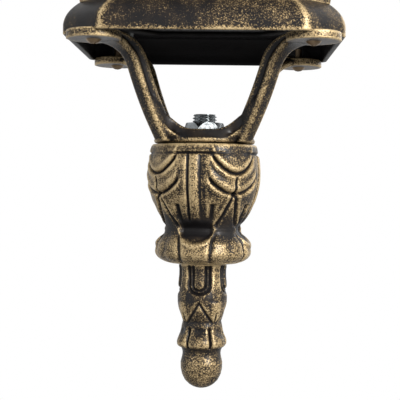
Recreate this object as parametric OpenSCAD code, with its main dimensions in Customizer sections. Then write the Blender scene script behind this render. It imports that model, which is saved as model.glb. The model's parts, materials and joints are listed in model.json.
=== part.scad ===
// Outdoor wall light: a four-sided cast lantern that hangs from an arm over its roof.
// Under its flared foot a four-legged yoke carries a carved cup and a drop finial.
// Millimetres, +Z up. The wall is the plane Y = 0 and the light stands out towards -Y.
// The origin is the middle of the wall plate's back.

/* [Placing] */
// Distance from the wall to the lantern's upright axis
reach = 175; // [160:1:210]
// Drop from the wall plate's middle to the foot's bottom edge
foot_drop = 150; // [140:1:170]

/* [Foot] */
// Width of the flared foot across its flats
foot_w = 128; // [122:1:140]
// Leg of the chamfer across each corner
foot_chamfer = 18.6; // [16:0.2:21]
// Height of the foot
foot_h = 16; // [14:1:20]
// How far each side draws in towards the top
foot_flare = 6.8; // [5:0.2:8]
// Height of the upright lip below the curve
foot_lip = 4; // [3:0.5:6]
// Wall of the foot casting
foot_wall = 2.6; // [2:0.2:3.4]
// Sheet of the black plate that closes the lantern's floor
floor_sheet = 1.5; // [1:0.1:2]

/* [Yoke] */
// Distance of each flange screw from the lantern's axis
flange_screw_reach = 69.5; // [68:0.5:71]
// Radius of the round eye at the end of each leg
flange_eye_r = 12.4; // [10:0.2:13]
// Thickness of the flanges
flange_t = 4; // [3:0.2:5]
// How deep the flanges sit in the foot's bottom edge
flange_inset = 1.4; // [0.8:0.2:2]
// Lean of the legs from upright
leg_lean = 27.9; // [26:0.1:30]
// Outward bow of the legs between hub and bend
leg_bow = 1.2; // [0:0.2:2]
// Radius of the bend between leg and flange
leg_bend_r = 17; // [14:1:20]
// Radius of the fillet where a leg's inner bar runs out on the hub
leg_fillet_r = 6; // [5:0.5:7]
// Flat run of the flange from that bend to its screw
flange_run = 6.7; // [6:0.1:9]
// Width of a leg's outer strap
strap_w = 8; // [7:0.2:10]
// Thickness of that strap
strap_t = 3.5; // [2.6:0.1:3.6]
// Width of the round bar inside the strap
bar_w = 6.6; // [5.6:0.2:7.4]
// Depth of a leg, strap and bar together
leg_depth = 9.2; // [8:0.2:11]
// Width of the leg's neck between strap and bar
neck_w = 4.4; // [3.6:0.2:5]
// Radius of the hub
hub_r = 25; // [23:0.5:27]
// Height of the hub
hub_h = 6.3; // [5:0.1:8]
// Depth of the hub's dished top under its rim
hub_dish = 2.1; // [1:0.1:2.6]
// Drop from the foot's bottom edge to the hub's underside
hub_drop = 46.6; // [42:0.2:50]
// Height of the ring that holds hub and cup apart
spigot_h = 0.7; // [0.4:0.1:1.5]
// Radius of that ring
spigot_r = 20; // [16:0.5:21]

/* [Finial] */
// Outer diameter of the threaded tube
tube_d = 12; // [10:1:12]
// Bore of the threaded tube
tube_bore = 8; // [6:0.5:8]
// How far the tube stands above the nut
tube_stand = 4.2; // [2:0.2:8]
// How deep the tube is screwed into the drop
tube_engage = 20; // [12:1:26]
// Width across the flats of the hex nut
hub_nut_af = 18; // [17:0.5:19]
// Height of the hex nut
hub_nut_h = 6; // [5:0.5:8]
// Turn of the nut from square
hub_nut_turn = -15.6; // [-30:0.1:30]
// Height of the carved cup
cup_h = 58; // [54:0.5:62]
// Widest radius of the cup
cup_r = 27.8; // [26:0.1:30]
// Turn of the carving from square
cup_turn = -9; // [-45:1:45]
// Depth of the carved grooves
carve_d = 1.1; // [0.6:0.1:1.4]
// Half width of the hanging grooves
carve_w = 1.3; // [1:0.1:1.6]
// Height of the drop
drop_h = 62.3; // [58:0.5:66]
// Widest radius of the drop
drop_r = 12.2; // [11.6:0.1:13]
// Turn of the drop's leaves from square
drop_turn = -6; // [-45:1:45]

/* [Cage] */
// Height of the glazed cage
cage_h = 120; // [100:1:140]
// Half width of the cage at its top
cage_top_half = 75; // [70:1:80]
// Leg of the corner chamfer at the cage's top
cage_top_chamfer = 24; // [20:1:28]
// Wall of the cage
cage_wall = 3.2; // [2.6:0.2:4]
// Height of the rails below and above the glass
rail_h = 11; // [9:1:14]
// Width of the frame beside the glass
stile_w = 6; // [4:0.5:8]
// Thickness of the glass
glass_t = 3; // [2:0.5:4]
// Overlap of the glass behind its frame
glass_lap = 4; // [3:0.5:5]
// Thickness of the lugs inside the cage's corners
lug_t = 4; // [3:0.5:5]
// Sheet of the spring clips that hold the glass
clip_sheet = 0.8; // [0.6:0.1:1]
// Width of those clips
clip_w = 12; // [8:1:16]
// Length of a clip's leg on the glass
clip_leg = 5; // [4:0.5:5]

/* [Roof] */
// Half width of the roof at its eaves
eaves_half = 88; // [84:1:96]
// Height of the roof above the cage
roof_h = 64; // [56:1:76]
// Half width of the roof at its neck
neck_half = 20; // [18:1:26]
// Height of the upright edge of the eaves
eaves_h = 7; // [5:0.5:10]
// Drop of the eaves below the top of the cage
eaves_drop = 5; // [3:0.5:6]
// Wall of the roof
roof_wall = 3.4; // [2.8:0.2:4]
// Thickness of the roof's flat top
roof_lid_t = 8; // [6:1:10]
// Thickness of the rubber disc on the roof
seal_disc_t = 1.5; // [1:0.5:3]
// Height of the turned crown on the roof
crown_h = 20; // [16:1:28]
// Radius of the crown's foot
crown_r = 18; // [16:0.5:19]

/* [Lamp] */
// Outer diameter of the hanging tube that carries the lantern
stem_d = 10; // [9:0.5:10]
// Bore of the hanging tube
stem_bore = 7; // [5:0.5:7.5]
// Outer radius of the ceramic lampholder
holder_r = 20; // [19:0.5:23]
// Height of the ceramic lampholder
holder_h = 44; // [40:1:50]
// Height of the steel cap on the lampholder
holder_cap_h = 12; // [10:1:14]
// Radius inside the lampholder's screw shell
shell_r = 13.4; // [13:0.1:13.8]
// Radius of the lamp's bulb
lamp_r = 30; // [25:1:34]
// Length of the lamp below its cap
lamp_l = 78; // [70:1:84]

/* [Arm] */
// Outer radius of the tubular arm
arm_r = 8; // [7:0.5:9]
// Bore of the arm
arm_bore_r = 4.5; // [3.5:0.5:5]
// Bend radius where the arm leaves the wall plate
arm_low_bend = 25; // [20:1:30]
// Bend radius where the arm turns out over the roof
arm_high_bend = 35; // [28:1:40]
// Straight length of arm at the wall plate
arm_root = 8; // [6:1:14]
// Radius of the arm's rosette on the wall plate
rosette_r = 22; // [19:1:24]
// Thickness of the rosette
rosette_t = 5; // [4:0.5:7]
// Radius of the eye at the arm's end
arm_eye_r = 14; // [12:0.5:17]
// Height of that eye
arm_eye_h = 18; // [16:1:22]

/* [Wall plate] */
// Width of the wall plate
plate_w = 100; // [94:1:120]
// Height of the wall plate
plate_h = 150; // [144:1:170]
// Leg of the wall plate's corner chamfer
plate_chamfer = 16; // [12:1:20]
// Depth of the wall plate from the wall
plate_d = 20; // [18:1:26]
// Wall of the wall plate
plate_wall = 3; // [2.4:0.2:4]
// Width of each moulded step round the plate
plate_step = 6; // [4:0.5:8]
// Thickness of the rubber seal against the wall
seal_t = 2; // [1.5:0.5:3]
// Width of the rubber seal
seal_w = 5; // [4:0.5:6]
// Spacing of the two fixing holes in the crossbar
fixing_spacing = 50; // [45:1:56]
// Diameter of those fixing holes
fixing_d = 5; // [4:0.5:6]
// Spacing of the two studs that hold the wall plate
stud_spacing = 112; // [108:1:114]
// Diameter of the studs
stud_d = 4; // [4:0.5:5]
// Width of the crossbar
bar_strip_w = 18; // [16:1:24]
// Thickness of the crossbar
bar_strip_t = 2; // [1.5:0.5:2.5]
// Width of the terminal block
terminal_w = 14; // [12:1:16]
// Height of the terminal block off the plate
terminal_h = 12; // [10:1:12]
// Length of the terminal block
terminal_l = 30; // [28:1:34]
// Spacing of its three ways
terminal_pitch = 10; // [9:0.5:10]

/* [Fasteners] */
// Diameter of the machine screws in the castings
screw_d = 4; // [3.5:0.5:5]
// Grip of those screws in the foot's bosses
screw_bite = 6; // [5:0.5:7]
// Diameter of their pan heads
screw_head_d = 7.2; // [6.8:0.2:9.4]
// Height of their pan heads
screw_head_h = 2; // [1.6:0.2:3.6]
// Diameter of the smaller screws inside the cage
lug_screw_d = 4; // [3:0.5:4]
// Diameter of their heads
lug_head_d = 8; // [7:0.2:8.4]
// Metal round a screw hole in a boss
boss_wall = 2.6; // [2:0.2:3]
// Height of the nuts on the hanging tube and the arm
stem_nut_h = 6; // [5:0.5:7]
// Width of those nuts across their flats
stem_nut_af = 14; // [13:0.5:15]
// Width of the dome nuts on the wall plate across their flats
stud_nut_af = 7; // [7:0.5:8]
// Running clearance round screws, tubes and glass
fit_gap = 0.2; // [0.1:0.05:0.3]

/* [Hidden] */
$fn = 64;

// Heights in the lantern's own frame: the foot's bottom edge is zero and its axis is upright
foot_half = foot_w / 2;
foot_top_half = foot_half - foot_flare;
ledge_t = 2.4;
ledge_half = foot_top_half - 11;
boss_r = screw_d / 2 + boss_wall;
flange_boss_h = flange_inset + screw_bite + 2.6;
lug_boss_h = 8;
cage_z = foot_h;
cage_top_z = cage_z + cage_h;
flange_z = flange_inset - flange_t;
hub_z = -hub_drop;
hub_rim_z = hub_z + hub_h;
hub_seat_z = hub_rim_z - hub_dish;
cup_z = hub_z - spigot_h;
drop_z = cup_z - cup_h;
tube_top_z = hub_seat_z + hub_nut_h + tube_stand;
tube_low_z = drop_z - tube_engage;

// The cage leans outwards from the foot's top to the eaves
cage_half = foot_top_half;
cage_lean = atan((cage_top_half - cage_half) / cage_h);
wall_run = cage_wall / cos(cage_lean);
lug_reach_low = corner_diag(cage_half, foot_chamfer) - wall_run - 6;
lug_reach_high = corner_diag(cage_top_half, cage_top_chamfer) - wall_run - 7;
glass_low = floor_sheet + 5.5;
glass_high = cage_h - rail_h + glass_lap;

// The roof, the crown and the arm's eye stack up on the hanging tube
roof_top_z = cage_top_z + roof_h;
fascia_low_z = cage_top_z - eaves_drop;
fascia_top_z = fascia_low_z + eaves_h;
flank_z = fascia_top_z + 2;
roof_inner_z = roof_top_z - roof_lid_t;
roof_run = roof_wall + 2;
roof_leg_share = 0.32;
roof_nut_z = roof_inner_z - stem_nut_h;
crown_z = roof_top_z + seal_disc_t;
eye_z = crown_z + crown_h;
eye_top_z = eye_z + arm_eye_h;
arm_z = eye_z + arm_eye_h / 2;
cap_socket_h = 10.5;
stem_top_z = eye_top_z + cap_socket_h - 1.5;
holder_cap_z = roof_nut_z - 2 - holder_cap_h;
holder_z = holder_cap_z - holder_h;
holder_floor = 3;
holder_lid = 12;
stem_low_z = holder_cap_z + holder_floor;

// The arm and what the wall plate holds, in the wall's frame
arm_run_z = arm_z - foot_drop;
arm_rise_y = -plate_d - rosette_t - arm_root - arm_low_bend;
arm_wire_r = arm_bore_r - 1;
plate_inner_y = -plate_d + plate_wall;
plate_brim = plate_step * 0.6;
plate_crown = plate_step * 1.5;
crossbar_l = stud_spacing + 14;
earth_z = -fixing_spacing / 2 - 12;
earth_d = stud_d - 0.6;
stud_nut_h = 4.5;
terminal_x = 26;
terminal_z = 22;
terminal_screw_x = 3.6;
terminal_screw_d = 3.8;
wire_hole_d = 3.4;

function corner_diag(half, chamfer) = (2 * half - chamfer) / sqrt(2);
function mirrored(half_line) =
    concat(half_line, [for (i = [len(half_line) - 1:-1:0]) [-half_line[i][0], half_line[i][1]]]);
function chamfered(a, b, c) =
    [[a, b - c], [a - c, b], [c - a, b], [-a, b - c], [-a, c - b], [c - a, -b], [a - c, -b], [a, c - b]];
function wrapped(angle, period) = angle - period * round(angle / period);
function bump(x, width) = exp(-pow(x / width, 2));
function ramp(x, start, end) = let (t = min(1, max(0, (x - start) / (end - start)))) t * t * (3 - 2 * t);
function smooth_lookup(x, line, blur) =
    (lookup(x - blur, line) + 2 * lookup(x, line) + lookup(x + blur, line)) / 4;

module in_lantern() {
    translate([0, -reach, -foot_drop]) children();
}

module at_corners(diag_reach, z) {
    for (turn = [45:90:315]) rotate([0, 0, turn]) translate([diag_reach, 0, z]) children();
}

// A solid with four flat sides and four mitred corner faces, from the side's half outline.
// The corner faces keep a constant leg, or a leg in proportion to the width.
module mitred_block(half_line, leg, leg_share = 0) {
    diag_line = [for (p = half_line) [corner_diag(p[0], leg + leg_share * p[0]), p[1]]];
    intersection() {
        side_prism(half_line);
        rotate([0, 0, 90]) side_prism(half_line);
        rotate([0, 0, 45]) side_prism(diag_line);
        rotate([0, 0, -45]) side_prism(diag_line);
    }
}

module side_prism(half_line) {
    rotate([90, 0, 0]) linear_extrude(4 * eaves_half, center = true) polygon(mirrored(half_line));
}

// A block that widens evenly between two outlines of as many points
module tapered_block(low, high, z0, z1) {
    n = len(low);
    points = concat([for (p = low) [p[0], p[1], z0]], [for (p = high) [p[0], p[1], z1]]);
    sides = [for (i = [0:n - 1]) [n + i, n + (i + 1) % n, (i + 1) % n, i]];
    polyhedron(points, concat([[for (i = [0:n - 1]) i]], sides, [[for (i = [n - 1:-1:0]) n + i]]));
}

// Rings of equal point counts joined into one closed solid
module ringed_solid(rings) {
    n = len(rings[0]);
    last = len(rings) - 1;
    points = [for (ring = rings) each ring];
    sides = [for (k = [0:last - 1], i = [0:n - 1])
        each [[k * n + i, (k + 1) * n + (i + 1) % n, k * n + (i + 1) % n],
            [k * n + i, (k + 1) * n + i, (k + 1) * n + (i + 1) % n]]];
    polyhedron(points, concat([[for (i = [0:n - 1]) i]], sides, [[for (i = [n - 1:-1:0]) last * n + i]]));
}

// A pan-head screw that points up, with its head under the seat at the origin
module pan_screw(d, head_d, head_h, grip) {
    dome_r = (pow(head_d / 2, 2) + pow(head_h, 2)) / (2 * head_h);
    recess_w = head_d / 8;
    difference() {
        union() {
            intersection() {
                translate([0, 0, dome_r - head_h]) sphere(dome_r);
                translate([0, 0, -head_h]) cylinder(d = head_d, h = head_h);
            }
            cylinder(d = d, h = grip);
        }
        for (turn = [0, 90])
            rotate([0, 0, turn]) translate([0, 0, -head_h]) cube([head_d / 2, recess_w, head_h], center = true);
    }
}

// A round dome on its flat side
module dome(r, h) {
    rotate_extrude() polygon(concat([[0, 0]], [for (i = [0:10]) [(r - 0.1) * cos(9 * i), h * sin(9 * i)]]));
}

module hex_nut(af, h, bore) {
    difference() {
        intersection() {
            rotate([0, 0, 30]) cylinder(d = af / cos(30), h = h, $fn = 6);
            cylinder(d1 = af * 1.3, d2 = af * 1.02, h = h);
        }
        translate([0, 0, -1]) cylinder(d = bore, h = h + 2);
    }
}

// Half outline of the foot's outside, or of its inside by the wall
function foot_line(inset, low, high, steps = 8) = concat(
    [[foot_half - inset, low]],
    [for (i = [0:steps]) let (t = i / steps, z = foot_lip + t * (high - foot_lip))
        [foot_half - inset - foot_flare * pow((z - foot_lip) / (foot_h - foot_lip), 2), z]]);

// The bosses are what the hollow leaves standing, so they never show outside
module foot() {
    color([0.22, 0.17, 0.11]) in_lantern() difference() {
        mitred_block(foot_line(0, 0, foot_h), foot_chamfer);
        difference() {
            union() {
                mitred_block(foot_line(foot_wall, -1, foot_h - ledge_t), foot_chamfer);
                translate([0, 0, foot_h / 2]) linear_extrude(foot_h)
                    polygon(chamfered(ledge_half, ledge_half, foot_chamfer));
            }
            at_corners(flange_screw_reach - 1, 0) cylinder(r = boss_r, h = flange_boss_h);
            at_corners(lug_reach_low, foot_h - lug_boss_h) cylinder(r = boss_r, h = lug_boss_h - ledge_t / 2);
        }
        at_corners(flange_screw_reach, flange_z) cylinder(r = flange_eye_r + fit_gap, h = flange_t);
        at_corners(flange_screw_reach, 0) cylinder(d = screw_d, h = flange_inset + screw_bite + 0.6);
        at_corners(lug_reach_low, foot_h - lug_boss_h + 1) cylinder(d = lug_screw_d, h = lug_boss_h);
    }
}

module floor_plate() {
    half = cage_half - wall_run - 2;
    color([0.05, 0.05, 0.05]) in_lantern() translate([0, 0, foot_h]) difference() {
        linear_extrude(floor_sheet) polygon(chamfered(half, half, foot_chamfer));
        at_corners(lug_reach_low, -1) cylinder(d = screw_d, h = floor_sheet + 2);
    }
}

// Leg: the outer strap's face follows a straight, a bend and the flat flange.
// Each station is [reach, height, slope, strap half width, depth].
leg_low_z = hub_z - 6;
leg_tangent = leg_bend_r * tan((90 - leg_lean) / 2);
bend_u = flange_screw_reach - flange_run;
leg_corner_u = bend_u - leg_tangent;
bend_start_z = flange_z - leg_tangent * cos(leg_lean);
leg_root_z = hub_rim_z - 0.7;
leg_clear_z = leg_root_z + leg_fillet_r - leg_depth * sin(leg_lean);
function leg_station(z, depth) =
    let (bow = leg_bow * sin(180 * max(0, (z - hub_z) / (bend_start_z - hub_z))))
    [leg_corner_u - (flange_z - z) * tan(leg_lean) + bow, z, 90 - leg_lean, strap_w / 2, depth];
function fillet_run(h) = leg_fillet_r - sqrt(pow(leg_fillet_r, 2) - pow(leg_fillet_r - h, 2));
leg_stations = concat(
    [leg_station(leg_low_z, leg_depth + leg_fillet_r)],
    [for (h = leg_fillet_r * [0, 0.2, 0.5, 1]) let (depth = leg_depth + fillet_run(h))
        leg_station(leg_root_z + h - depth * sin(leg_lean), depth)],
    [for (t = [1 / 3, 2 / 3]) leg_station(leg_clear_z + (bend_start_z - leg_clear_z) * t, leg_depth)],
    [for (i = [0:8]) let (t = i / 8, slope = (90 - leg_lean) * (1 - t))
        [bend_u - leg_bend_r * sin(slope), flange_z - leg_bend_r * (1 - cos(slope)), slope,
            strap_w / 2 + 2.4 * ramp(t, 0.3, 1), leg_depth - (leg_depth - flange_t - 1.6) * ramp(t, 0.1, 1)]],
    [[bend_u + flange_run * 0.22, flange_z + 0.6, 0, flange_eye_r - 2.4, flange_t - 1]]);

// Outline of a leg across its run: rounded strap, neck and round bar
function leg_outline(half, depth) =
    let (strap = min(strap_t, 0.7 * depth), bar = depth - strap, side = [
        [half * 0.55, -0.35], [half - 0.9, 0.1], [half, strap * 0.3], [half - 0.25, strap * 0.75],
        [max(neck_w / 2, half - 1.7), strap - 0.1], [neck_w / 2, strap + bar * 0.16],
        [bar_w / 2 - 0.3, strap + bar * 0.42], [bar_w / 2, strap + bar * 0.62],
        [bar_w / 2 - 0.7, strap + bar * 0.86], [bar_w / 5, depth]])
    concat(side, [for (i = [len(side) - 1:-1:0]) [-side[i][0], side[i][1]]]);

module leg() {
    ringed_solid([for (s = leg_stations)
        [for (p = leg_outline(s[3], s[4]))
            [s[0] - p[1] * sin(s[2]), p[0], s[1] + p[1] * cos(s[2])]]]);
}

module hub() {
    rotate_extrude() polygon([
        [tube_d / 2 + fit_gap, cup_z], [spigot_r, cup_z], [spigot_r, hub_z], [hub_r - 0.7, hub_z],
        [hub_r, hub_z + 0.7], [hub_r, hub_z + 1.9], [hub_r - 0.6, hub_z + 2.5], [hub_r - 1.6, hub_z + 3.2],
        [hub_r - 1.5, hub_rim_z - 1.7], [hub_r - 0.9, hub_rim_z - 0.8], [hub_r - 1.5, hub_rim_z],
        [hub_r - 2.8, hub_rim_z], [hub_r - 5, hub_rim_z - hub_dish / 2], [hub_r - 10, hub_seat_z],
        [tube_d / 2 + fit_gap, hub_seat_z]]);
}

// The legs run past the hub and are cut off level with its underside
module yoke() {
    spare = 10;
    color([0.30, 0.24, 0.15]) in_lantern() difference() {
        union() {
            hub();
            at_corners(0, 0) leg();
            at_corners(flange_screw_reach, flange_z) cylinder(r = flange_eye_r, h = flange_t);
        }
        at_corners(flange_screw_reach, flange_z - 1) cylinder(d = screw_d + 2 * fit_gap, h = flange_t + 2);
        translate([0, 0, leg_low_z - spare]) difference() {
            cylinder(r = 2 * hub_r, h = hub_z - leg_low_z + spare);
            cylinder(r = spigot_r, h = hub_z - leg_low_z + 2 * spare);
        }
        translate([0, 0, leg_low_z - spare]) cylinder(r = 2 * hub_r, h = cup_z - leg_low_z + spare);
    }
}

module yoke_screws() {
    color([0.36, 0.29, 0.18]) in_lantern() at_corners(flange_screw_reach, flange_z)
        pan_screw(screw_d - 2 * fit_gap, screw_head_d, screw_head_h, flange_t + screw_bite);
}

module threaded_tube() {
    color([0.72, 0.74, 0.74]) in_lantern() translate([0, 0, tube_low_z]) difference() {
        cylinder(d = tube_d, h = tube_top_z - tube_low_z);
        translate([0, 0, -1]) cylinder(d = tube_bore, h = tube_top_z - tube_low_z + 2);
    }
}

module hub_nut() {
    color([0.80, 0.82, 0.81]) in_lantern() translate([0, 0, hub_seat_z]) rotate([0, 0, hub_nut_turn])
        hex_nut(hub_nut_af, hub_nut_h, tube_d);
}

// Outline of the cup, as radius over the widest one, down from its rim
cup_line = [[0, 0.925], [0.02, 0.95], [0.045, 0.962], [0.075, 0.965], [0.14, 0.98], [0.245, 1], [0.34, 0.99],
    [0.44, 0.945], [0.53, 0.87], [0.62, 0.775], [0.685, 0.69], [0.715, 0.672], [0.755, 0.70], [0.80, 0.77],
    [0.85, 0.84], [0.91, 0.86], [0.955, 0.815], [0.985, 0.70], [1, 0.56]];

// Half angle of the broad leaf round each rib, down the cup
leaf_line = [[0.40, 43], [0.50, 40], [0.60, 35], [0.68, 26], [0.74, 16], [0.79, 4]];

// Carving of the cup: four ribs, hanging grooves across four stems, leaf edges and an eight-lobed foot
function cup_carving(t, a) =
    let (rib = wrapped(a - cup_turn, 90), stem = wrapped(a - cup_turn - 45, 90), lobe = wrapped(a - cup_turn, 45),
        d = t * cup_h, body = ramp(t, 0.08, 0.12) * (1 - ramp(t, 0.68, 0.76)),
        rib_body = body * (1 - ramp(t, 0.60, 0.68)), flare = ramp(t, 0.75, 0.86))
    rib_body * carve_d * (0.45 * bump(rib, 5) - bump(abs(rib) - 10, 2.6))
    - carve_d * bump(stem, 3) * ramp(t, 0.26, 0.32) * body
    - carve_d * bump(d - (0.24 - pow(stem / 65.5, 2)) * cup_h, carve_w) * (1 - ramp(abs(stem), 25, 32)) * body
    - carve_d * bump(d - (0.42 - pow(stem / 94.5, 2)) * cup_h, carve_w) * (1 - ramp(abs(stem), 33, 38)) * body
    - carve_d * bump(abs(rib) - lookup(t, leaf_line), 3.4) * ramp(t, 0.42, 0.5) * (1 - ramp(t, 0.74, 0.80))
    + flare * carve_d * (1.45 * bump(rib, 15) - 2.4 * bump(abs(lobe) - 22.5, 5));

module finial_cup() {
    sides = 72;
    steps = 34;
    color([0.45, 0.36, 0.21]) in_lantern() translate([0, 0, cup_z]) difference() {
        ringed_solid([for (k = [steps:-1:0]) let (t = k / steps)
            [for (i = [0:sides - 1])
                let (a = 360 * i / sides, r = cup_r * smooth_lookup(t, cup_line, 0.012) + cup_carving(t, a))
                [r * cos(a - 90), r * sin(a - 90), -t * cup_h]]]);
        translate([0, 0, -cup_h - 1]) cylinder(d = tube_d + 2 * fit_gap, h = cup_h + 2);
    }
}

// Outline of the drop, as radius over the widest one, down from the cup
drop_line = [[0, 0.96], [0.04, 0.94], [0.10, 0.94], [0.18, 0.955], [0.25, 0.98], [0.31, 1], [0.36, 0.98],
    [0.40, 0.92], [0.44, 0.84], [0.475, 0.80], [0.52, 0.84], [0.57, 0.90], [0.61, 0.99], [0.635, 1.01],
    [0.66, 0.95], [0.68, 0.83], [0.70, 0.785], [0.725, 0.77], [0.75, 0.80], [0.79, 0.845], [0.83, 0.855],
    [0.87, 0.825], [0.91, 0.73], [0.945, 0.60], [0.97, 0.45], [0.99, 0.26], [1, 0.06]];

// Carving of the drop: four long leaves with a tongue, points over the waist and a ring of six petals
function drop_carving(t, a) =
    let (leaf = wrapped(a - drop_turn, 90), petal = wrapped(a - drop_turn, 60))
    - carve_d * 0.8 * bump(abs(leaf) - 34, 5) * ramp(t, 0.02, 0.06) * (1 - ramp(t, 0.24, 0.32))
    - carve_d * 0.8 * bump(abs(leaf) - 15, 5) * ramp(t, 0.10, 0.16) * (1 - ramp(t, 0.24, 0.32))
    - carve_d * bump(t - 0.31 - pow(leaf / 84, 2), 0.016) * ramp(t, 0.28, 0.32) * (1 - ramp(t, 0.5, 0.56))
    - carve_d * 1.6 * bump(abs(petal) - 30, 5) * ramp(t, 0.52, 0.60) * (1 - ramp(t, 0.67, 0.70));

module finial_drop() {
    sides = 48;
    steps = 42;
    color([0.48, 0.38, 0.22]) in_lantern() translate([0, 0, drop_z]) difference() {
        ringed_solid([for (k = [steps:-1:0]) let (t = k / steps)
            [for (i = [0:sides - 1])
                let (a = 360 * i / sides, r = drop_r * smooth_lookup(t, drop_line, 0.008) + drop_carving(t, a))
                [r * cos(a - 90), r * sin(a - 90), -t * drop_h]]]);
        translate([0, 0, -tube_engage - 2]) cylinder(d = tube_d + fit_gap, h = tube_engage + 3);
    }
}

// Half width of the cage's outside at a height above the foot
function cage_half_at(h) = cage_half + (cage_top_half - cage_half) * h / cage_h;

// Half width of the glass opening at that height
function sight_half_at(h) = cage_half_at(h) - foot_chamfer - (cage_top_chamfer - foot_chamfer) * h / cage_h - stile_w;

module sight_prism() {
    low = rail_h;
    high = cage_h - rail_h;
    rotate([90, 0, 0]) linear_extrude(4 * cage_top_half, center = true)
        polygon([[-sight_half_at(low), low], [sight_half_at(low), low],
            [sight_half_at(high), high], [-sight_half_at(high), high]]);
}

module cage() {
    over = 1;
    low_in = cage_half_at(-over) - wall_run;
    high_in = cage_half_at(cage_h + over) - wall_run;
    color([0.20, 0.16, 0.10]) in_lantern() translate([0, 0, cage_z]) difference() {
        union() {
            difference() {
                tapered_block(chamfered(cage_half, cage_half, foot_chamfer),
                    chamfered(cage_top_half, cage_top_half, cage_top_chamfer), 0, cage_h);
                tapered_block(chamfered(low_in, low_in, foot_chamfer),
                    chamfered(high_in, high_in, cage_top_chamfer), -over, cage_h + over);
            }
            intersection() {
                union() {
                    at_corners(lug_reach_low + 4, floor_sheet) translate([0, 0, lug_t / 2])
                        cube([20, 16, lug_t], center = true);
                    at_corners(lug_reach_high + 4, cage_h - lug_t) translate([0, 0, lug_t / 2])
                        cube([22, 16, lug_t], center = true);
                }
                tapered_block(chamfered(cage_half, cage_half, foot_chamfer),
                    chamfered(cage_top_half, cage_top_half, cage_top_chamfer), 0, cage_h);
            }
        }
        sight_prism();
        rotate([0, 0, 90]) sight_prism();
        at_corners(lug_reach_low, 0) cylinder(d = lug_screw_d + 1, h = lug_t + 4);
        at_corners(lug_reach_high, cage_h - lug_t - 2) cylinder(d = lug_screw_d + 1, h = lug_t + 4);
    }
}

module cage_screws() {
    color([0.62, 0.63, 0.62]) in_lantern() at_corners(lug_reach_low, cage_z + floor_sheet + lug_t)
        mirror([0, 0, 1])
            pan_screw(lug_screw_d - 2 * fit_gap, lug_head_d, screw_head_h, lug_t + floor_sheet + lug_boss_h - 3);
}

// One pane on the inside of the cage's front, with its clips' places
module in_pane(turn) {
    in_lantern() rotate([0, 0, turn]) translate([0, -cage_half_at(0) + wall_run + fit_gap, cage_z])
        rotate([cage_lean, 0, 0]) children();
}

module glass_pane(turn) {
    low_half = sight_half_at(glass_low) + glass_lap;
    high_half = sight_half_at(glass_high) + glass_lap;
    color([0.85, 0.90, 0.92, 0.45]) in_pane(turn) translate([0, glass_t, 0]) rotate([90, 0, 0])
        linear_extrude(glass_t) polygon([[-low_half, glass_low], [low_half, glass_low],
            [high_half, glass_high], [-high_half, glass_high]]);
}

module glass_front() { glass_pane(0); }
module glass_right() { glass_pane(90); }
module glass_rear() { glass_pane(180); }
module glass_left() { glass_pane(270); }

// Two spring clips hold each pane, one below and one above
module glass_clips() {
    color([0.70, 0.71, 0.70]) for (turn = [0:90:270]) in_pane(turn)
        for (end = [[glass_low, 1], [glass_high, 0]])
            translate([-clip_w / 2, 0, end[0]]) mirror([0, 0, end[1]]) {
                translate([0, glass_t + fit_gap, -clip_leg]) cube([clip_w, clip_sheet, clip_leg + clip_sheet]);
                translate([0, 0, fit_gap]) cube([clip_w, glass_t + fit_gap + clip_sheet, clip_sheet]);
            }
}

// Half width of the roof's swept flank at a height, and the flank between two heights
function flank_half(z) =
    neck_half + (eaves_half - 4 - neck_half) * pow((roof_top_z - z) / (roof_top_z - flank_z), 1.9);
function flank_line(low, high, steps = 10) =
    [for (i = [0:steps]) let (z = low + (high - low) * i / steps) [flank_half(z), z]];

// The hollow rises straight from the cage's opening and then follows the flank at the wall's thickness
function roof_hollow_line(steps = 14) =
    [for (i = [0:steps]) let (z = cage_top_z - 1 + (roof_inner_z - cage_top_z + 1) * i / steps)
        [min(cage_top_half - wall_run, flank_half(z) - roof_run), z]];

module roof_shape() {
    mitred_block(concat([[eaves_half, fascia_low_z], [eaves_half, fascia_top_z]], flank_line(flank_z, roof_top_z)),
        0, roof_leg_share);
}

module roof() {
    color([0.22, 0.17, 0.11]) in_lantern() difference() {
        union() {
            difference() {
                roof_shape();
                mitred_block(roof_hollow_line(), 0, roof_leg_share);
                mitred_block([[cage_top_half + 1, fascia_low_z - 1], [cage_top_half + 1, cage_top_z]],
                    cage_top_chamfer);
            }
            intersection() {
                roof_shape();
                at_corners(lug_reach_high, cage_top_z) cylinder(r = boss_r, h = roof_h / 2);
            }
        }
        at_corners(lug_reach_high, cage_top_z - 1) cylinder(d = lug_screw_d, h = lug_boss_h + 1);
        translate([0, 0, roof_inner_z - 1]) cylinder(d = stem_d + 2 * fit_gap, h = roof_lid_t + 2);
    }
}

module roof_screws() {
    color([0.62, 0.63, 0.62]) in_lantern() at_corners(lug_reach_high, cage_top_z - lug_t)
        pan_screw(lug_screw_d - 2 * fit_gap, lug_head_d, screw_head_h, lug_t + lug_boss_h - 1);
}

module roof_seal() {
    color([0.08, 0.08, 0.08]) in_lantern() translate([0, 0, roof_top_z]) difference() {
        cylinder(r = crown_r - 2, h = seal_disc_t);
        translate([0, 0, -1]) cylinder(d = stem_d + 2 * fit_gap, h = seal_disc_t + 2);
    }
}

module roof_crown() {
    hole = stem_d / 2 + fit_gap;
    color([0.42, 0.33, 0.20]) in_lantern() translate([0, 0, crown_z]) rotate_extrude() polygon(concat(
        [[hole, 0], [crown_r, 0], [crown_r, 2.5]],
        [for (i = [0:8]) let (t = i / 8) [crown_r - 2 - (crown_r - 13) * sin(180 * t * 0.75), 3 + t * (crown_h - 7)]],
        [[arm_eye_r - 0.6, crown_h - 3.2], [arm_eye_r, crown_h - 2.2], [arm_eye_r, crown_h], [hole, crown_h]]));
}

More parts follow.
